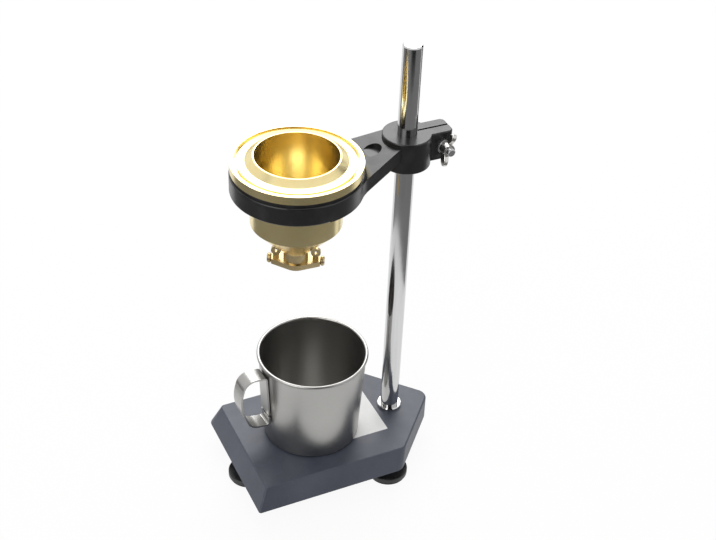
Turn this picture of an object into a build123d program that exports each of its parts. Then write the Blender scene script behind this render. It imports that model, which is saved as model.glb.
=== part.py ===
from build123d import *
from math import acos, asin, atan, atan2, cos, hypot, radians, sin, sqrt, tan
import os

# Flow cup viscometer on a bench stand, in millimetres.
# +Z is up with zero on the bench. X runs along the base from its blunt end towards the column
# and Y across it. The origin is under the middle of the footprint.

os.makedirs("parts", exist_ok=True)

# Clearances, all radial or face to face
running_gap = 0.05
press_gap = 0.02
lift_gap = 0.3

# Base casting, measured from the column axis on its top face
base_thick = 14.5
base_half = 42.2
base_back = 107.0
base_shoulder = 8.5
base_apex = 30.0
base_side_slope = 5.6
base_back_slope = 6.9
base_point_slope = 1.0
point_r = 7.0
point_low_r = 12.0
shoulder_r = 5.0
shoulder_low_r = 8.0
near_corner_r = 1.5
far_corner_r = 3.0
far_corner_low_r = 6.5
base_edge_r = 1.2

# Levelling feet, measured in from the sides of the base's top
foot_end_inset = 3.8
foot_pair_inset = 8.3
foot_pair_back = 7.7
foot_knob_r = 13.1
foot_knob_tall = 3.8
foot_knob_edge = 0.4
foot_pad_r = 12.3
foot_pad_thick = 1.2
foot_button_r = 2.5
foot_button_tall = 1.1
foot_gap = 8.1
stud_r = 3.0
stud_grip = 6.5
stud_bore_deep = 10.5

# Label, let in flush with the top of the base
label_front = 11.5
label_long = 30.0
label_wide = 44.0
label_thick = 0.4

# Column and its fixing
column_r = 6.0
column_tall = 274.0
column_chamfer = 0.8
collar_r = 8.2
collar_tall = 2.2
collar_chamfer = 0.55
spigot_r = 4.0
pocket_r = 10.5
pocket_deep = 9.4
washer_r = 8.5
washer_thick = 1.6
nut_across = 13.0
nut_thick = 6.5
spigot_past_nut = 1.0

# Arm, heights above its underside
arm_height = 195.5
cup_reach = 70.5
boss_r = 15.0
boss_tall = 20.3
ring_step = 1.0
ring_tall = 12.0
ring_drop = 2.0
ear_reach = 27.5
ear_half = 7.5
ear_tall = 18.4
ear_corner_r = 3.0
slit_wide = 1.4
neck_drop = 3.6
neck_thick = 9.2
neck_half_boss = 13.2
neck_widen = 0.366
neck_flare_r = 16.0
neck_start = 13.0
recess_r = 5.6
recess_deep = 1.4
recess_back = 22.6
arm_edge_r = 0.8

# Clamp screw and wing nut
clamp_reach = 21.8
clamp_up = 10.5
bolt_r = 2.5
bolt_head_across = 8.0
bolt_head_thick = 3.5
bolt_past = 9.5
bolt_chamfer = 0.5
clamp_washer_r = 5.0
clamp_washer_thick = 1.0
wing_hub_r = 4.4
wing_hub_top_r = 3.6
wing_hub_tall = 5.3
wing_at = 7.0
wing_up = 3.6
wing_half_long = 4.0
wing_half_wide = 2.5
wing_splay = 25.0
wing_thick = 3.0
wing_edge_r = 0.8
wing_tilt = 15.3

# Seat ring between the arm and the cup
seat_spigot_wall = 5.7
seat_land = 4.9
seat_tall = 2.4
seat_spigot_deep = 6.0

# Flow cup, 100 ml: bore, then an 81 degree cone down to the jet
flange_step = 0.7
flange_thick = 5.2
lip_wide = 2.3
gallery_wide = 2.0
gallery_deep = 2.2
gallery_rise = 1.8
mouth_rise = 3.3
mouth_land = 0.8
mouth_slope = 4.4
cup_bore_r = 25.0
cup_bore_deep = 43.6
cup_wall = 2.5
cone_half_angle = 40.5
outer_half_angle = 43.1
cup_shoulder_r = 8.5
orifice_below_shoulder = 4.8
spigot_out_r = 5.9
cup_spigot_long = 5.3

# Jet, gasket and nozzle cap
orifice_r = 2.0
orifice_long = 4.0
jet_rim_wall = 0.35
jet_r = 4.4
jet_flange_r = 5.6
jet_flange_thick = 2.2
jet_nose_r = 3.6
gasket_thick = 0.8
cap_r = 7.6
cap_barrel = 6.8
cap_plate_thick = 3.5
cap_lip = 2.5
cap_lobe_r = 8.7
cap_half_long = 14.8
cap_end_half = 2.75
cap_turned = -28.0
finger_at = 12.0
finger_r = 3.0
finger_stem = 3.6
finger_up = 5.2
finger_hole_r = 1.1
finger_thick = 2.2
peg_r = 3.0
peg_long = 2.6
peg_chamfer = 0.7
peg_up = 2.5
peg_pin_r = 0.8
peg_pin_long = 3.0

# Mug
mug_back = 57.6
mug_aside = 1.1
mug_bottom_r = 31.2
mug_top_r = 34.9
mug_tall = 65.0
mug_wall = 0.8
mug_roll_r = 1.1
mug_foot_r = 2.0
handle_turned = 184.0
strap_wide = 11.0
strap_thick = 1.2
strap_top = 58.5
strap_bottom = 18.5
strap_meet = 26.0
strap_gap = 1.0
strap_corner_r = 2.0
handle_reach = 17.6
handle_top_in = 3.2
handle_top_up = 2.6
handle_top_r = 8.0
handle_bulge = 1.5
handle_bulge_down = 16.0
handle_side_r = 30.0
handle_low_in = 6.0
handle_low_up = 2.5
handle_low_r = 9.0

# Radii that follow one another from the cup's wall outwards
cup_out_r = cup_bore_r + cup_wall
seat_bore_r = cup_out_r + lift_gap
ring_bore_r = seat_bore_r + seat_spigot_wall
seat_r = ring_bore_r + seat_land
flange_r = seat_r + flange_step
ring_r = seat_r + ring_step

# Heights from the bench
knob_z = foot_pad_thick
base_under_z = foot_pad_thick + foot_knob_tall + foot_gap
base_top_z = base_under_z + base_thick
arm_z = base_top_z + arm_height
boss_top_z = arm_z + boss_tall
ring_z = arm_z - ring_drop
ring_top_z = ring_z + ring_tall
clamp_z = arm_z + clamp_up
flange_z = ring_top_z + seat_tall
lip_z = flange_z + flange_thick
mouth_z = lip_z + mouth_rise
bore_end_z = mouth_z - cup_bore_deep
cone_slope = tan(radians(cone_half_angle))
orifice_top_z = bore_end_z - (cup_bore_r - orifice_r) / cone_slope
outlet_z = orifice_top_z - orifice_long
shoulder_z = orifice_top_z + orifice_below_shoulder
straight_end_z = shoulder_z + (cup_out_r - cup_shoulder_r) / tan(radians(outer_half_angle))
spigot_end_z = shoulder_z - cup_spigot_long
jet_top_z = orifice_top_z + (jet_r - jet_rim_wall - orifice_r) / cone_slope
jet_flange_z = spigot_end_z - gasket_thick - jet_flange_thick
cap_z = jet_flange_z - cap_lip

# Places in plan: the footprint runs from the end foot to the rounded point of the base
point_slant = (base_apex + base_shoulder) / base_half
point_reach = base_apex - point_r * (hypot(point_slant, 1) - 1)
foot_end_back = base_back - foot_end_inset
column_x = (foot_end_back + foot_knob_r - point_reach) / 2
cup_x = column_x - cup_reach
mug_x = column_x - mug_back
foot_pair_x = column_x - base_shoulder - foot_pair_back
foot_pair_half = base_half - foot_pair_inset
foot_places = {
    "end": (column_x - foot_end_back, 0),
    "near": (foot_pair_x, -foot_pair_half),
    "far": (foot_pair_x, foot_pair_half),
}


def base_outline(back, half, apex):
    """Corners of the base in plan: square at the back, running to a point past the column."""
    return [
        (column_x - back, -half),
        (column_x + apex - half * point_slant, -half),
        (column_x + apex, 0),
        (column_x + apex - half * point_slant, half),
        (column_x - back, half),
    ]


def base_plan(z, outline, radii):
    """Plan of the base at one height, with a radius for each kind of corner."""
    near_r, side_r, tip_r, far_r = radii
    with BuildSketch(Plane.XY.offset(z)) as plan:
        Polygon(*outline, align=None)
        fillet(plan.vertices().sort_by(Axis.X)[-1], tip_r)
        fillet(plan.vertices().sort_by(Axis.X)[2:4], side_r)
        fillet(plan.vertices().sort_by(Axis.X)[:2].sort_by(Axis.Y)[0], near_r)
        fillet(plan.vertices().sort_by(Axis.X)[:3].sort_by(Axis.Y)[-1], far_r)
    return plan.sketch


def cup_radius(z):
    """Inside radius of the cup's cone."""
    return orifice_r + (z - orifice_top_z) * cone_slope


def section_plane(x, y=0.0, z=0.0, turned=0.0):
    """Upright plane through a vertical axis: local x outwards, local y up."""
    turn = radians(turned)
    return Plane(origin=(x, y, z), x_dir=(cos(turn), sin(turn), 0), z_dir=(sin(turn), -cos(turn), 0))


# Base casting: vertical at the point, sloping out towards the bench on the other sides
top_plan = base_plan(
    base_top_z,
    base_outline(base_back, base_half, base_apex),
    (near_corner_r, shoulder_r, point_r, far_corner_r),
)
low_plan = base_plan(
    base_under_z,
    base_outline(base_back + base_back_slope, base_half + base_side_slope, base_apex + base_point_slope),
    (near_corner_r, shoulder_low_r, point_low_r, far_corner_low_r),
)
with BuildPart() as base_casting:
    loft([low_plan, top_plan], ruled=True)
    fillet(base_casting.faces().sort_by(Axis.Z)[-1].edges(), base_edge_r)
    # bore for the column's spigot, and the pocket for its nut
    with BuildSketch(Plane.XY.offset(base_under_z)):
        with Locations((column_x, 0)):
            Circle(spigot_r + running_gap)
    extrude(amount=base_thick, mode=Mode.SUBTRACT)
    with BuildSketch(Plane.XY.offset(base_under_z)):
        with Locations((column_x, 0)):
            Circle(pocket_r)
    extrude(amount=pocket_deep, mode=Mode.SUBTRACT)
    # threaded holes for the levelling feet
    with BuildSketch(Plane.XY.offset(base_under_z)):
        with Locations(*foot_places.values()):
            Circle(stud_r + running_gap)
    extrude(amount=stud_bore_deep, mode=Mode.SUBTRACT)
    # shallow recess for the label
    with BuildSketch(Plane.XY.offset(base_top_z)):
        with Locations((column_x - label_front - label_long / 2, 0)):
            Rectangle(label_long, label_wide)
    extrude(amount=-label_thick, mode=Mode.SUBTRACT)

# Label
with BuildPart() as label_plate:
    with BuildSketch(Plane.XY.offset(base_top_z)):
        with Locations((column_x - label_front - label_long / 2, 0)):
            Rectangle(label_long - 2 * press_gap, label_wide - 2 * press_gap)
    extrude(amount=-label_thick)

# Column: ground rod with a reduced spigot through the base
with BuildPart() as column:
    with BuildSketch(Plane.XY.offset(base_top_z)):
        with Locations((column_x, 0)):
            Circle(column_r)
    extrude(amount=column_tall)
    chamfer(column.edges().sort_by(Axis.Z)[-1], column_chamfer)
    with BuildSketch(Plane.XY.offset(base_top_z)):
        with Locations((column_x, 0)):
            Circle(spigot_r)
    extrude(amount=-(base_thick - pocket_deep + washer_thick + nut_thick + spigot_past_nut))

with BuildPart() as column_collar:
    with BuildSketch(Plane.XY.offset(base_top_z)):
        with Locations((column_x, 0)):
            Circle(collar_r)
            Circle(column_r + press_gap, mode=Mode.SUBTRACT)
    extrude(amount=collar_tall)
    chamfer(column_collar.edges().group_by(Axis.Z)[-1].sort_by(SortBy.LENGTH)[-1], collar_chamfer)

pocket_top_z = base_under_z + pocket_deep
with BuildPart() as column_washer:
    with BuildSketch(Plane.XY.offset(pocket_top_z)):
        with Locations((column_x, 0)):
            Circle(washer_r)
            Circle(spigot_r + press_gap, mode=Mode.SUBTRACT)
    extrude(amount=-washer_thick)

with BuildPart() as column_nut:
    with BuildSketch(Plane.XY.offset(pocket_top_z - washer_thick)):
        with Locations((column_x, 0)):
            RegularPolygon(nut_across / sqrt(3), 6)
            Circle(spigot_r + press_gap, mode=Mode.SUBTRACT)
    extrude(amount=-nut_thick)


# Levelling feet: a rubber pad, a knob turning on it, and the stud that screws into the base
def levelling_foot(place):
    """Pad, knob and stud of one foot."""
    with BuildPart() as pad:
        with BuildSketch(Plane.XY):
            with Locations(place):
                Circle(foot_pad_r)
        extrude(amount=foot_pad_thick)
        with BuildSketch(Plane.XY.offset(foot_pad_thick)):
            with Locations(place):
                Circle(foot_button_r)
        extrude(amount=foot_button_tall)
    with BuildPart() as knob:
        with BuildSketch(Plane.XY.offset(knob_z)):
            with Locations(place):
                Circle(foot_knob_r)
        extrude(amount=foot_knob_tall)
        chamfer(knob.edges(), foot_knob_edge)
        with BuildSketch(Plane.XY.offset(knob_z)):
            with Locations(place):
                Circle(foot_button_r + running_gap)
        extrude(amount=foot_button_tall + running_gap, mode=Mode.SUBTRACT)
        with BuildSketch(Plane.XY.offset(knob_z + foot_button_tall + running_gap)):
            with Locations(place):
                Circle(stud_r + press_gap)
        extrude(amount=foot_knob_tall, mode=Mode.SUBTRACT)
    with BuildPart() as stud:
        with BuildSketch(Plane.XY.offset(knob_z + foot_button_tall + 2 * running_gap)):
            with Locations(place):
                Circle(stud_r)
        extrude(amount=base_under_z + stud_grip - knob_z - foot_button_tall - 2 * running_gap)
    return pad, knob, stud


# Arm: neck first, its plan cut to the side view
neck_slope = (boss_top_z - neck_drop - ring_top_z) / (cup_reach - seat_r - neck_start)


def neck_top(back):
    """Height of the neck's top at a distance behind the column axis."""
    return boss_top_z - neck_drop - (back - neck_start) * neck_slope


def neck_half(back):
    """Half width of the neck at a distance behind the column axis."""
    return neck_half_boss + (back - neck_start) * neck_widen


# centre of the arc that runs from the neck's side into the ring, and its two ends
flare_y = (neck_half(cup_reach) + neck_flare_r * hypot(neck_widen, 1)) / hypot(neck_widen, 1)
flare_turn = asin(flare_y / (ring_r + neck_flare_r)) - atan(neck_widen)
flare_centre = Vector(cos(flare_turn), sin(flare_turn)) * (ring_r + neck_flare_r)
flare_on_ring = Vector(cos(flare_turn), sin(flare_turn)) * ring_r
flare_on_neck = flare_centre - Vector(neck_widen, 1).normalized() * neck_flare_r
flare_bend = (flare_on_ring + flare_on_neck) / 2 - flare_centre
flare_middle = flare_centre + flare_bend.normalized() * neck_flare_r


def neck_points(side, *points):
    """Points given from the ring's centre towards the column, on one side of the neck."""
    return [(cup_x + point.X, side * point.Y) for point in points]


with BuildPart() as neck:
    with BuildSketch(Plane.XY.offset(ring_z)):
        with BuildLine():
            near_neck, near_bend, near_ring = neck_points(-1, flare_on_neck, flare_middle, flare_on_ring)
            far_neck, far_bend, far_ring = neck_points(1, flare_on_neck, flare_middle, flare_on_ring)
            Polyline(near_neck, (column_x, -neck_half(0)), (column_x, neck_half(0)), far_neck)
            ThreePointArc(far_neck, far_bend, far_ring)
            ThreePointArc(far_ring, (cup_x - ring_r, 0), near_ring)
            ThreePointArc(near_ring, near_bend, near_neck)
        make_face()
    extrude(amount=boss_top_z - ring_z)
    with BuildSketch(Plane.XZ):
        Polygon(
            (column_x, neck_top(0)),
            (column_x - cup_reach, neck_top(cup_reach)),
            (column_x - cup_reach, neck_top(cup_reach) - neck_thick),
            (column_x, neck_top(0) - neck_thick),
            align=None,
        )
    extrude(amount=ring_r, both=True, mode=Mode.INTERSECT)

with BuildPart() as arm_ring:
    with BuildSketch(Plane.XY.offset(ring_z)):
        with Locations((cup_x, 0)):
            Circle(ring_r)
    extrude(amount=ring_tall)
    fillet(arm_ring.edges(), arm_edge_r)

with BuildPart() as support_arm:
    with BuildSketch(Plane.XY.offset(arm_z)):
        with Locations((column_x, 0)):
            Circle(boss_r)
    extrude(amount=boss_tall)
    # ears, flush with the top of the boss
    with BuildSketch(Plane.XY.offset(boss_top_z - ear_tall)) as ear_plan:
        with Locations((column_x, 0)):
            Rectangle(ear_reach, 2 * ear_half, align=(Align.MIN, Align.CENTER))
        fillet(ear_plan.vertices().sort_by(Axis.X)[-2:], ear_corner_r)
    extrude(amount=ear_tall)
    fillet(support_arm.edges().group_by(Axis.Z)[-1], arm_edge_r)
    fillet(support_arm.edges().group_by(Axis.Z)[0], arm_edge_r)
    add(neck.part)
    add(arm_ring.part)
    # clear above the ring for the seat ring, then the bore
    with BuildSketch(Plane.XY.offset(ring_top_z)):
        with Locations((cup_x, 0)):
            Circle(seat_r + lift_gap)
    extrude(amount=boss_tall, mode=Mode.SUBTRACT)
    with BuildSketch(Plane.XY.offset(ring_z)):
        with Locations((cup_x, 0)):
            Circle(ring_bore_r)
    extrude(amount=boss_tall, mode=Mode.SUBTRACT)
    # column bore and the slit between the ears
    with BuildSketch(Plane.XY.offset(arm_z)):
        with Locations((column_x, 0)):
            Circle(column_r + running_gap)
            Rectangle(ear_reach, slit_wide, align=(Align.MIN, Align.CENTER))
    extrude(amount=boss_tall, mode=Mode.SUBTRACT)
    # round recess in the neck
    with BuildSketch(Plane.XY.offset(neck_top(recess_back) - recess_deep)):
        with Locations((column_x - recess_back, 0)):
            Circle(recess_r)
    extrude(amount=boss_tall, mode=Mode.SUBTRACT)
    # hole for the clamp screw
    with BuildSketch(Plane.XZ):
        with Locations((column_x + clamp_reach, clamp_z)):
            Circle(bolt_r + running_gap)
    extrude(amount=ear_half, both=True, mode=Mode.SUBTRACT)


def clamp_plane(y, turned=0.0):
    """Plane across the clamp screw, facing the wing nut side."""
    turn = radians(turned)
    return Plane(
        origin=(column_x + clamp_reach, y, clamp_z),
        x_dir=(sin(turn), 0, cos(turn)),
        z_dir=(0, -1, 0),
    )


# Clamp screw, washer and wing nut
with BuildPart() as clamp_bolt:
    with BuildSketch(clamp_plane(ear_half + bolt_head_thick)):
        RegularPolygon(bolt_head_across / sqrt(3), 6)
    extrude(amount=bolt_head_thick)
    with BuildSketch(clamp_plane(ear_half)):
        Circle(bolt_r)
    extrude(amount=2 * ear_half + bolt_past)
    chamfer(clamp_bolt.edges().sort_by(Axis.Y)[0], bolt_chamfer)

with BuildPart() as clamp_washer:
    with BuildSketch(clamp_plane(-ear_half)):
        Circle(clamp_washer_r)
        Circle(bolt_r + running_gap, mode=Mode.SUBTRACT)
    extrude(amount=clamp_washer_thick)

nut_y = -ear_half - clamp_washer_thick
with BuildPart() as clamp_wing_nut:
    # the two wings, drawn along the screw: local x across the wings, local y outwards
    across = clamp_plane(nut_y, wing_tilt)
    wing_plane = Plane(origin=across.origin, x_dir=across.x_dir, z_dir=across.x_dir.cross(across.z_dir))
    with BuildSketch(wing_plane):
        for side in (-1, 1):
            with Locations((side * wing_at, wing_up)):
                Ellipse(wing_half_long, wing_half_wide, rotation=side * wing_splay)
    extrude(amount=wing_thick / 2, both=True)
    fillet(clamp_wing_nut.edges(), wing_edge_r)
    with BuildSketch(clamp_plane(nut_y)):
        Circle(wing_hub_r)
    with BuildSketch(clamp_plane(nut_y - wing_hub_tall)):
        Circle(wing_hub_top_r)
    loft()
    with BuildSketch(clamp_plane(nut_y)):
        Circle(bolt_r + running_gap)
    extrude(amount=wing_hub_tall + wing_half_long, mode=Mode.SUBTRACT)

# Seat ring: a flange on the arm and a spigot centred in its bore
with BuildPart() as cup_seat_ring:
    with BuildSketch(Plane.XY.offset(ring_top_z)):
        with Locations((cup_x, 0)):
            Circle(seat_r)
    extrude(amount=seat_tall)
    with BuildSketch(Plane.XY.offset(ring_top_z)):
        with Locations((cup_x, 0)):
            Circle(ring_bore_r - running_gap)
    extrude(amount=-seat_spigot_deep)
    with BuildSketch(Plane.XY.offset(ring_top_z - seat_spigot_deep)):
        with Locations((cup_x, 0)):
            Circle(seat_bore_r)
    extrude(amount=seat_spigot_deep + seat_tall, mode=Mode.SUBTRACT)

# Flow cup, turned from one piece of brass
gallery_out_r = flange_r - lip_wide
gallery_in_r = gallery_out_r - gallery_wide
jet_bore_r = jet_r + running_gap
with BuildPart() as flow_cup:
    with BuildSketch(section_plane(cup_x)):
        Polygon(
            (jet_bore_r, spigot_end_z),
            (spigot_out_r, spigot_end_z),
            (spigot_out_r, shoulder_z),
            (cup_shoulder_r, shoulder_z),
            (cup_out_r, straight_end_z),
            (cup_out_r, flange_z),
            (flange_r, flange_z),
            (flange_r, lip_z),
            (gallery_out_r, lip_z),
            (gallery_out_r, lip_z - gallery_deep),
            (gallery_in_r, lip_z - gallery_deep),
            (gallery_in_r, lip_z - gallery_deep + gallery_rise),
            (cup_bore_r + mouth_land + mouth_slope, lip_z),
            (cup_bore_r + mouth_land, mouth_z),
            (cup_bore_r, mouth_z),
            (cup_bore_r, bore_end_z),
            (cup_radius(jet_top_z), jet_top_z),
            (jet_bore_r, jet_top_z),
            align=None,
        )
    revolve(axis=Axis((cup_x, 0, 0), (0, 0, 1)))

# Jet: the rest of the cone and the orifice
with BuildPart() as nozzle_jet:
    with BuildSketch(section_plane(cup_x)):
        Polygon(
            (orifice_r, outlet_z),
            (jet_nose_r, outlet_z),
            (jet_nose_r, jet_flange_z),
            (jet_flange_r, jet_flange_z),
            (jet_flange_r, jet_flange_z + jet_flange_thick),
            (jet_r, jet_flange_z + jet_flange_thick),
            (jet_r, jet_top_z),
            (cup_radius(jet_top_z), jet_top_z),
            (orifice_r, orifice_top_z),
            align=None,
        )
    revolve(axis=Axis((cup_x, 0, 0), (0, 0, 1)))

with BuildPart() as nozzle_gasket:
    with BuildSketch(Plane.XY.offset(spigot_end_z)):
        with Locations((cup_x, 0)):
            Circle(jet_flange_r)
            Circle(jet_r + press_gap, mode=Mode.SUBTRACT)
    extrude(amount=-gasket_thick)

# Nozzle cap: union nut with an oval plate and two drilled ears
cap_section = section_plane(cup_x, turned=cap_turned)
lobe_turn = acos(cap_lobe_r / hypot(cap_half_long, cap_end_half)) + atan2(cap_end_half, cap_half_long)
lobe_x = cap_lobe_r * cos(lobe_turn)
lobe_y = cap_lobe_r * sin(lobe_turn)
cap_plane = Plane(origin=(cup_x, 0, cap_z), x_dir=cap_section.x_dir, z_dir=(0, 0, 1))
cap_plate_z = cap_z + cap_plate_thick
peg_planes = [
    Plane(
        origin=Vector(cup_x, 0, cap_z + peg_up) + cap_section.x_dir * side * cap_half_long,
        x_dir=(0, 0, 1),
        z_dir=cap_section.x_dir * side,
    )
    for side in (-1, 1)
]
with BuildPart() as nozzle_cap:
    with BuildSketch(cap_plane):
        Circle(cap_lobe_r)
        Polygon(
            (cap_half_long, -cap_end_half),
            (cap_half_long, cap_end_half),
            (lobe_x, lobe_y),
            (-lobe_x, lobe_y),
            (-cap_half_long, cap_end_half),
            (-cap_half_long, -cap_end_half),
            (-lobe_x, -lobe_y),
            (lobe_x, -lobe_y),
            align=None,
        )
    extrude(amount=cap_plate_thick)
    with BuildSketch(cap_plane):
        Circle(cap_r)
    extrude(amount=cap_plate_thick + cap_barrel)
    with BuildSketch(cap_section):
        for side in (-1, 1):
            with Locations((side * finger_at, cap_plate_z)):
                Rectangle(finger_stem, finger_up, align=(Align.CENTER, Align.MIN))
            with Locations((side * finger_at, cap_plate_z + finger_up)):
                Circle(finger_r)
                Circle(finger_hole_r, mode=Mode.SUBTRACT)
    extrude(amount=finger_thick / 2, both=True)
    # seat for the jet, open below for its nose
    with BuildSketch(cap_plane.offset(cap_lip)):
        Circle(spigot_out_r + running_gap)
    extrude(amount=cap_plate_thick + cap_barrel, mode=Mode.SUBTRACT)
    with BuildSketch(cap_plane):
        Circle(jet_nose_r + lift_gap)
    extrude(amount=cap_lip, mode=Mode.SUBTRACT)
    # holes in the ends for the pegs
    with BuildSketch(*peg_planes):
        Circle(peg_pin_r + press_gap)
    extrude(amount=-peg_pin_long - press_gap, mode=Mode.SUBTRACT)

with BuildPart() as nozzle_cap_pegs:
    with BuildSketch(*peg_planes):
        Circle(peg_r)
    extrude(amount=peg_long)
    chamfer(nozzle_cap_pegs.edges().filter_by(GeomType.CIRCLE), peg_chamfer)
    with BuildSketch(*peg_planes):
        Circle(peg_pin_r)
    extrude(amount=-peg_pin_long)

# Mug: spun cup with a rolled rim
mug_plane = section_plane(mug_x, mug_aside, base_top_z)
mug_axis = Axis((mug_x, mug_aside, 0), (0, 0, 1))
roll_z = mug_tall - mug_roll_r
mug_lean = (mug_top_r - mug_bottom_r) / roll_z
with BuildPart() as mug_body:
    with BuildSketch(mug_plane) as mug_section:
        Polygon(
            (0, 0),
            (mug_bottom_r, 0),
            (mug_top_r, roll_z),
            (mug_top_r - mug_wall, roll_z),
            (mug_bottom_r - mug_wall, mug_wall),
            (0, mug_wall),
            align=None,
        )
        fillet(mug_section.vertices().group_by(Axis.Y)[0].sort_by(Axis.X)[-1], mug_foot_r)
        with Locations((mug_top_r, roll_z)):
            Circle(mug_roll_r)
    revolve(axis=mug_axis)


def strap_line(z):
    """Distance from the mug's axis to the middle of a strap lying on its wall."""
    return mug_bottom_r + mug_lean * z + strap_thick / 2 + press_gap


# Handle: one strap in a loop, its two ends meeting where it lies on the wall
handle_out_r = mug_top_r + handle_reach
strap_upper_end = strap_meet + strap_gap / 2
strap_lower_end = strap_meet - strap_gap / 2
with BuildPart() as mug_handle:
    with BuildSketch(section_plane(mug_x, mug_aside, base_top_z, handle_turned)):
        with BuildLine() as strap:
            FilletPolyline(
                (strap_line(strap_upper_end), strap_upper_end),
                (strap_line(strap_top), strap_top),
                (handle_out_r - handle_top_in, strap_top + handle_top_up),
                (handle_out_r + handle_bulge, strap_top - handle_bulge_down),
                (handle_out_r - handle_low_in, strap_bottom + handle_low_up),
                (strap_line(strap_bottom), strap_bottom),
                (strap_line(strap_lower_end), strap_lower_end),
                radius=(strap_corner_r, handle_top_r, handle_side_r, handle_low_r, strap_corner_r),
            )
        trace(strap.line, line_width=strap_thick)
    extrude(amount=strap_wide / 2, both=True)

pieces = {
    "base_casting": base_casting,
    "label_plate": label_plate,
    "column": column,
    "column_collar": column_collar,
    "column_washer": column_washer,
    "column_nut": column_nut,
    "support_arm": support_arm,
    "clamp_bolt": clamp_bolt,
    "clamp_washer": clamp_washer,
    "clamp_wing_nut": clamp_wing_nut,
    "cup_seat_ring": cup_seat_ring,
    "flow_cup": flow_cup,
    "nozzle_jet": nozzle_jet,
    "nozzle_gasket": nozzle_gasket,
    "nozzle_cap": nozzle_cap,
    "nozzle_cap_pegs": nozzle_cap_pegs,
    "mug_body": mug_body,
    "mug_handle": mug_handle,
}
for name, place in foot_places.items():
    pad, knob, stud = levelling_foot(place)
    pieces["foot_pad_" + name] = pad
    pieces["foot_knob_" + name] = knob
    pieces["foot_stud_" + name] = stud

for name, piece in pieces.items():
    piece.part.label = name
    export_step(piece.part, "parts/" + name + ".step")
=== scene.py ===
import bpy
import math
from mathutils import Matrix, Vector


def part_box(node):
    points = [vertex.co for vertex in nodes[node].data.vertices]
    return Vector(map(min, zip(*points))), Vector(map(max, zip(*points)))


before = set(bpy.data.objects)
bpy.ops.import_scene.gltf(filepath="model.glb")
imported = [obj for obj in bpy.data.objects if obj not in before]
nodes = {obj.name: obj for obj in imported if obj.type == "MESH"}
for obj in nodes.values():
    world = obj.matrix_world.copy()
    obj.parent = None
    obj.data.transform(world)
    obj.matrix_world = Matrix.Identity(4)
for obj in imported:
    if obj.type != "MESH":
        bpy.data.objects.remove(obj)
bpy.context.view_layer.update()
print("frame loaded:", len(nodes), "nodes")


class Tone:                                   # a node's output that stands in plain arithmetic
    def __init__(self, book, socket):
        self.book = book
        self.socket = socket

    def __add__(self, other):
        return self.book.math("ADD", self, other)

    def __sub__(self, other):
        return self.book.math("SUBTRACT", self, other)

    def __rsub__(self, other):
        return self.book.math("SUBTRACT", other, self)

    def __mul__(self, other):
        return self.book.math("MULTIPLY", self, other)

    __radd__ = __add__
    __rmul__ = __mul__


class NodeBook:                               # a node tree with one way to add a node
    def __init__(self, tree):
        self.tree = tree
        tree.nodes.clear()

    def node(self, kind, settings=None, values=(), out=0):
        made = self.tree.nodes.new(kind)
        for key, value in (settings or {}).items():
            setattr(made, key, value)
        for key, value in values.items() if isinstance(values, dict) else enumerate(values):
            if isinstance(value, Tone):
                self.tree.links.new(value.socket, made.inputs[key])
            else:
                made.inputs[key].default_value = value
        if isinstance(out, tuple):
            return [Tone(self, made.outputs[key]) for key in out]
        return Tone(self, made.outputs[out]) if made.outputs else made

    def math(self, operation, *values):
        return self.node("ShaderNodeMath", {"operation": operation}, values)


mixPlaces = {"share": 0, "under": 6, "over": 7, "result": 2}   # sockets of a Mix node set to colour


class Finish(NodeBook):                       # one material, laid out in object space and metres
    def __init__(self, name):
        self.material = bpy.data.materials.new(name)
        self.material.use_nodes = True
        super().__init__(self.material.node_tree)
        self.place = self.node("ShaderNodeTexCoord", out="Object")
        self.x, self.y, self.z = self.node("ShaderNodeSeparateXYZ", None, (self.place,), ("X", "Y", "Z"))

    def noise(self, scale, detail, at=None, rough=0.5):
        return self.node("ShaderNodeTexNoise", None,
                         {"Vector": at or self.place, "Scale": scale, "Detail": detail, "Roughness": rough})

    def point(self, x, y, z):
        return self.node("ShaderNodeCombineXYZ", None, (x, y, z))

    def stretched(self, across, along, upward):
        return self.point(self.x * across, self.y * along, self.z * upward)

    def between(self, value, low, high):      # 0 below low, 1 above high
        return self.node("ShaderNodeMapRange", None, {"Value": value, "From Min": low, "From Max": high})

    def patches(self, scale, detail, low, high):
        return self.between(self.noise(scale, detail), low, high)

    def blend(self, share, under, over):      # a shade laid over another shade or over a mixed colour
        under = under if isinstance(under, Tone) else (*under, 1)
        return self.node("ShaderNodeMix", {"data_type": "RGBA"},
                         {mixPlaces["share"]: share, mixPlaces["under"]: under,
                          mixPlaces["over"]: (*over, 1)}, mixPlaces["result"])

    def bump(self, height, strength, depth):
        return self.node("ShaderNodeBump", None, {"Strength": strength, "Distance": depth, "Height": height})

    def spin(self, centre):                   # angle about an upright axis and distance from it
        dx = self.x - centre.x
        dy = self.y - centre.y
        return self.math("ARCTAN2", dy, dx), self.math("SQRT", dx * dx + dy * dy)

    def surface(self, result):
        self.node("ShaderNodeOutputMaterial", None, {"Surface": result})
        return self.material

    def shader(self, **values):
        named = {key.replace("_", " "): value for key, value in values.items()}
        return self.surface(self.node("ShaderNodeBsdfPrincipled", None, named))


def dress(material, *names):
    for name in names:
        for slot in nodes[name].material_slots:
            slot.material = material


def middle(name):                             # the upright axis through the middle of a piece
    low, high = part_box(name)
    return (low + high) / 2


camera = {
    "fromColumn": (-0.3336, -0.6151),         # metres from the column's axis, along X and Y
    "aboveBase": 0.6361,                      # metres above the top of the base
    "azimuth": -26.4,                         # degrees, 0 looks along +Y
    "down": 36.81,
    "roll": 2.62,
    "lens": 69.105,
    "sensor": 36.0,
}


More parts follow.
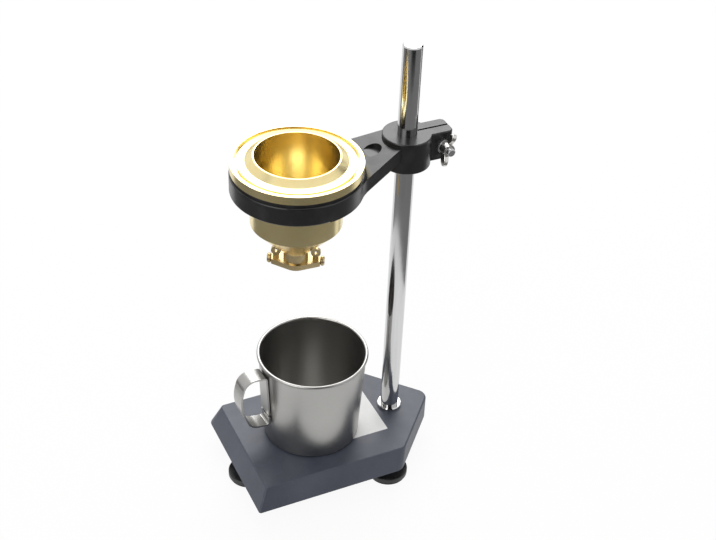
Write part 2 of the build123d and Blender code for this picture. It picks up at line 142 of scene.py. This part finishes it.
def setCamera():
    column = middle("column")
    place = Vector((column.x + camera["fromColumn"][0], column.y + camera["fromColumn"][1],
                    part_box("base_casting")[1].z + camera["aboveBase"]))
    turn, down, roll = (math.radians(camera[key]) for key in ("azimuth", "down", "roll"))
    ahead = Vector((-math.sin(turn) * math.cos(down), math.cos(turn) * math.cos(down), -math.sin(down)))
    level = Vector((math.cos(turn), math.sin(turn), 0))
    above = level.cross(ahead)
    right = level * math.cos(roll) + above * math.sin(roll)
    up = above * math.cos(roll) - level * math.sin(roll)
    data = bpy.data.cameras.new("camera")
    data.lens = camera["lens"]
    data.sensor_width = camera["sensor"]
    made = bpy.data.objects.new("camera", data)
    made.matrix_world = Matrix.Translation(place) @ Matrix((right, up, -ahead)).transposed().to_4x4()
    bpy.context.collection.objects.link(made)
    bpy.context.scene.camera = made


setCamera()
print("camera set")


# In each look, noise is (scale, detail), patches are (scale, detail, low, high)
# and a bump is (strength, depth in metres).
basePaint = {
    "colour": (0.058, 0.066, 0.092),
    "pale": (0.078, 0.087, 0.118),
    "worn": (0.22, 0.22, 0.24),
    "clouds": (38.0, 3, 0.35, 0.70),
    "specks": (1500.0, 1, 0.66, 0.72),
    "speckShare": 0.18,
    "rough": 0.38,
    "smears": (120.0, 3),
    "smearRough": 0.12,
    "peel": (900.0, 2),
    "peelBump": (0.35, 0.00008),
}


def paintBase(look):
    f = Finish("basePaint")
    colour = f.blend(f.patches(*look["clouds"]), look["colour"], look["pale"])
    colour = f.blend(f.patches(*look["specks"]) * look["speckShare"], colour, look["worn"])
    rough = look["rough"] + f.noise(*look["smears"]) * look["smearRough"]
    peel = f.bump(f.noise(*look["peel"]), *look["peelBump"])
    return f.shader(Base_Color=colour, Roughness=rough, Normal=peel)


dress(paintBase(basePaint), "base_casting")

label = {
    "shade": (0.86, 0.86, 0.85),
    "paper": (0.93, 0.93, 0.92),
    "fibres": (700.0, 4),
    "rough": 0.55,
    "fibreRough": 0.10,
    "fibreBump": (0.15, 0.00003),
}


def coverLabel(look):
    f = Finish("labelPaper")
    fibres = f.noise(*look["fibres"])
    return f.shader(Base_Color=f.blend(fibres, look["shade"], look["paper"]),
                    Roughness=look["rough"] + fibres * look["fibreRough"],
                    Normal=f.bump(fibres, *look["fibreBump"]))


dress(coverLabel(label), "label_plate")
print("base dressed")


chrome = {
    "dark": (0.54, 0.54, 0.545),
    "pale": (0.70, 0.70, 0.70),
    # the next two entries make painted reflections: vertical dark and pale streaks in the chrome's colour
    "reflectionStreaks": (60.0, 3),
    "reflectionStreakStretch": (6, 6, 0.25),
    "smudges": (35.0, 4, 0.40, 0.75),
    "rough": 0.11,
    "smudgeRough": 0.08,
    "grind": (420.0, 2),
    "grindStretch": (0.3, 0.3, 5),
    "grindBump": (0.05, 0.00002),
}


def plateChrome(look):
    f = Finish("columnChrome")
    # painted reflections: vertical dark and pale streaks laid into the chrome's colour
    reflectionStreaks = f.noise(*look["reflectionStreaks"], at=f.stretched(*look["reflectionStreakStretch"]))
    grind = f.noise(*look["grind"], at=f.stretched(*look["grindStretch"]))
    return f.shader(Base_Color=f.blend(reflectionStreaks, look["dark"], look["pale"]), Metallic=1.0,
                    Roughness=look["rough"] + f.patches(*look["smudges"]) * look["smudgeRough"],
                    Normal=f.bump(grind, *look["grindBump"]))


dress(plateChrome(chrome), "column", "column_collar")

zinc = {
    "dark": (0.42, 0.42, 0.43),
    "pale": (0.60, 0.60, 0.60),
    "rough": 0.30,
    "spread": (160.0, 2),
    "grain": (900.0, 3),
    "grainRough": 0.12,
    "grainBump": (0.12, 0.00003),
}
nickel = {**zinc, "dark": (0.55, 0.54, 0.52), "pale": (0.78, 0.77, 0.74), "rough": 0.16}


def plateSteel(name, look):
    f = Finish(name)
    grain = f.noise(*look["grain"])
    return f.shader(Base_Color=f.blend(f.noise(*look["spread"]), look["dark"], look["pale"]), Metallic=1.0,
                    Roughness=look["rough"] + grain * look["grainRough"],
                    Normal=f.bump(grain, *look["grainBump"]))


dress(plateSteel("zincSteel", zinc), "column_washer", "column_nut", "clamp_bolt", "clamp_washer",
      "foot_stud_end", "foot_stud_near", "foot_stud_far")
dress(plateSteel("wingNickel", nickel), "clamp_wing_nut")
print("bright hardware dressed")


armPaint = {
    "colour": (0.010, 0.010, 0.011),
    "dusty": (0.022, 0.022, 0.024),
    "dust": (90.0, 4, 0.50, 0.80),
    "rough": 0.30,
    "dustRough": 0.12,
    "skin": (520.0, 3),
    "skinBump": (0.30, 0.0001),
    "coat": 0.15,
    "coatRough": 0.20,
}


def paintArm(look):
    f = Finish("armPaint")
    dust = f.patches(*look["dust"])
    return f.shader(Base_Color=f.blend(dust, look["colour"], look["dusty"]),
                    Roughness=look["rough"] + dust * look["dustRough"],
                    Normal=f.bump(f.noise(*look["skin"]), *look["skinBump"]),
                    Coat_Weight=look["coat"], Coat_Roughness=look["coatRough"])


dress(paintArm(armPaint), "support_arm")

seat = {
    "colour": (0.008, 0.008, 0.009),
    "worn": (0.020, 0.020, 0.021),
    "rough": 0.34,
    "grain": (800.0, 2),
    "wear": (800.0 / 6, 3, 0.45, 0.80),
    "wearRough": 0.15,
    "grainBump": (0.25, 0.00006),
}
knob = {
    **seat,
    "colour": (0.012, 0.012, 0.013),
    "worn": (0.030, 0.030, 0.032),
    "rough": 0.42,
    "grain": (1200.0, 2),
    "wear": (200.0, 3, 0.45, 0.80),
}
rubber = {
    **seat,
    "colour": (0.010, 0.010, 0.010),
    "worn": (0.028, 0.027, 0.026),
    "rough": 0.70,
    "grain": (1600.0, 2),
    "wear": (1600.0 / 6, 3, 0.45, 0.80),
}


def mouldBlack(name, look):
    f = Finish(name)
    wear = f.patches(*look["wear"])
    return f.shader(Base_Color=f.blend(wear, look["colour"], look["worn"]),
                    Roughness=look["rough"] + wear * look["wearRough"],
                    Normal=f.bump(f.noise(*look["grain"]), *look["grainBump"]))


dress(mouldBlack("seatBlack", seat), "cup_seat_ring")
dress(mouldBlack("knobBlack", knob), "foot_knob_end", "foot_knob_near", "foot_knob_far")
dress(mouldBlack("footRubber", rubber), "foot_pad_end", "foot_pad_near", "foot_pad_far", "nozzle_gasket")
print("black pieces dressed")


brass = {
    "deep": (0.82, 0.66, 0.31),
    "bright": (0.90, 0.79, 0.45),
    "patch": (55.0, 4),
    "patchEnds": (0.30, 0.75),
    "rings": (1.0, 2),
    "ringStretch": 5200,                      # turning marks, finer outwards and upwards than round the cup
    "ringTurn": 1.5,
    "tarnish": 0.25,
    "rough": 0.18,
    "patchRough": 0.08,
    "ringRough": 0.06,
    "ringBump": (0.35, 0.00002),
}
capBrass = {
    **brass,
    "deep": (0.50, 0.38, 0.19),
    "bright": (0.66, 0.54, 0.31),
    "tarnish": 0.30,
    "rough": 0.24,
    "ringBump": (0.35, 0.00003),
}


def turnBrass(name, look):
    f = Finish(name)
    angle, away = f.spin(middle("flow_cup"))
    fine = look["ringStretch"]
    rings = f.noise(*look["rings"], at=f.point(away * fine, f.z * fine, angle * look["ringTurn"]))
    patch = f.noise(*look["patch"])
    colour = f.blend(f.between(patch, *look["patchEnds"]), look["bright"], look["deep"])
    colour = f.blend(rings * look["tarnish"], colour, look["deep"])
    rough = look["rough"] + patch * look["patchRough"] + rings * look["ringRough"]
    return f.shader(Base_Color=colour, Metallic=1.0, Roughness=rough,
                    Normal=f.bump(rings, *look["ringBump"]))


dress(turnBrass("cupBrass", brass), "flow_cup", "nozzle_jet")
dress(turnBrass("capBrass", capBrass), "nozzle_cap", "nozzle_cap_pegs")
print("brass dressed")


steel = {
    "dark": (0.34, 0.335, 0.325),
    "pale": (0.48, 0.475, 0.46),
    "grain": (1.0, 3),
    "grainStretch": (9, 900, 2600),           # round the mug, outwards and upwards
    "grainRough": 0.6,
    "patch": (30.0, 3),
    "share": 0.5,
    "rough": 0.24,
    "roughMore": 0.14,
    "grainBump": (0.18, 0.00003),
}


def brushSteel(look):
    f = Finish("mugSteel")
    angle, away = f.spin(middle("mug_body"))
    turnScale, outScale, upScale = look["grainStretch"]
    place = f.point(angle * turnScale, away * outScale, f.z * upScale)
    grain = f.noise(*look["grain"], at=place, rough=look["grainRough"])
    shine = grain * look["share"] + f.noise(*look["patch"]) * (1 - look["share"])
    return f.shader(Base_Color=f.blend(shine, look["dark"], look["pale"]), Metallic=1.0,
                    Roughness=look["rough"] + grain * look["roughMore"],
                    Normal=f.bump(grain, *look["grainBump"]))


dress(brushSteel(steel), "mug_body", "mug_handle")
print("mug dressed")


studio = {
    "aim": (-0.02, 0, 0.16),
    "floor": {"side": 6.0, "paper": 0.93, "glow": 0.93},   # glow is the share that is plain white
    "world": 0.45,
    "softBox": {"size": (1.3, 1.0), "distance": 1.5, "azimuth": -26.4, "up": 48.0, "power": 16.0},
    "fill": {"size": (1.2, 1.2), "distance": 1.8, "azimuth": 120.0, "up": 35.0, "power": 9.0},
    "flags": {
        "tone": 0.01,
        "height": 0.9,
        "middle": 0.4,
        "places": [(-75.0, 0.16, 0.5), (75.0, 0.16, 0.5), (170.0, 0.5, 0.5)],   # azimuth, width, distance
    },
    "tableFlag": {"tone": 0.24, "inner": 0.22, "outer": 0.95, "from": 35.0, "to": 265.0, "lift": 0.001,
                  "steps": 24},
}
aim = Vector(studio["aim"])


def seenRay(book):                            # 1 for what the camera, a mirror or glass sees
    kinds = ("Is Camera Ray", "Is Glossy Ray", "Is Transmission Ray")
    straight, mirrored, through = book.node("ShaderNodeLightPath", out=kinds)
    return book.math("MINIMUM", straight + mirrored + through, 1.0)


def aside(azimuth, upward, distance):         # a place round the object, azimuth 0 behind it along +Y
    a, b = math.radians(azimuth), math.radians(upward)
    return aim + distance * Vector((-math.sin(a) * math.cos(b), math.cos(a) * math.cos(b), math.sin(b)))


def facing(place, direction):                 # a placement whose own +Z looks along direction
    return Matrix.Translation(place) @ direction.to_track_quat("Z", "Y").to_matrix().to_4x4()


def diffuse(book, tone):
    return book.node("ShaderNodeBsdfDiffuse", None, {"Color": (tone, tone, tone, 1)})


def stand(name, points, faces, material):     # a flat piece of the studio
    mesh = bpy.data.meshes.new(name)
    mesh.from_pydata(points, [], faces)
    mesh.materials.append(material)
    made = bpy.data.objects.new(name, mesh)
    bpy.context.collection.objects.link(made)
    return made


def card(name, width, height, material):
    w, h = width / 2, height / 2
    return stand(name, [(-w, -h, 0), (w, -h, 0), (w, h, 0), (-w, h, 0)], [(0, 1, 2, 3)], material)


def hideFromAllButGloss(made):
    for kind in ("camera", "diffuse", "shadow", "transmission"):
        setattr(made, "visible_" + kind, False)


def layFloor(look):
    f = Finish("floorPaper")
    glow = f.node("ShaderNodeEmission", None, {"Color": (1, 1, 1, 1), "Strength": 1.0})
    share = seenRay(f) * look["glow"]
    f.surface(f.node("ShaderNodeMixShader", None, (share, diffuse(f, look["paper"]), glow)))
    card("floor", look["side"], look["side"], f.material)


def lightWorld(strength):
    world = bpy.data.worlds.new("studioWorld")
    world.use_nodes = True
    book = NodeBook(world.node_tree)
    seen = seenRay(book) * (1 - strength) + strength
    white = book.node("ShaderNodeBackground", None, {"Color": (1, 1, 1, 1), "Strength": seen})
    book.node("ShaderNodeOutputWorld", None, {"Surface": white})
    bpy.context.scene.world = world


def hangLamp(name, look):
    data = bpy.data.lights.new(name, "AREA")
    data.shape = "RECTANGLE"
    data.size, data.size_y = look["size"]
    data.energy = look["power"]
    lamp = bpy.data.objects.new(name, data)
    place = aside(look["azimuth"], look["up"], look["distance"])
    lamp.matrix_world = facing(place, place - aim)
    lamp.visible_camera = False
    bpy.context.collection.objects.link(lamp)


def standFlags(look):                         # black cards that only show in bright metal
    f = Finish("flagBlack")
    f.surface(diffuse(f, look["tone"]))
    centre = Vector((aim.x, aim.y, look["middle"]))
    for number, (azimuth, width, distance) in enumerate(look["places"]):
        place = aside(azimuth, 0, distance)
        place.z = look["middle"]
        flag = card("flag%d" % number, width, look["height"], f.material)
        flag.matrix_world = facing(place, centre - place)
        hideFromAllButGloss(flag)


def layTableFlag(look):                       # grey card round the front, seen only in bright metal
    f = Finish("tableFlagGrey")
    f.surface(diffuse(f, look["tone"]))
    points, faces = [], []
    for i in range(look["steps"] + 1):
        angle = math.radians(look["from"] + (look["to"] - look["from"]) * i / look["steps"])
        for radius in (look["inner"], look["outer"]):
            points.append((-radius * math.sin(angle), radius * math.cos(angle), look["lift"]))
        if i:
            faces.append((2 * i - 2, 2 * i - 1, 2 * i + 1, 2 * i))
    hideFromAllButGloss(stand("tableFlag", points, faces, f.material))


layFloor(studio["floor"])
lightWorld(studio["world"])
hangLamp("softBox", studio["softBox"])
hangLamp("fill", studio["fill"])
standFlags(studio["flags"])
layTableFlag(studio["tableFlag"])
bpy.context.scene.view_settings.view_transform = "Standard"
print("studio lit")
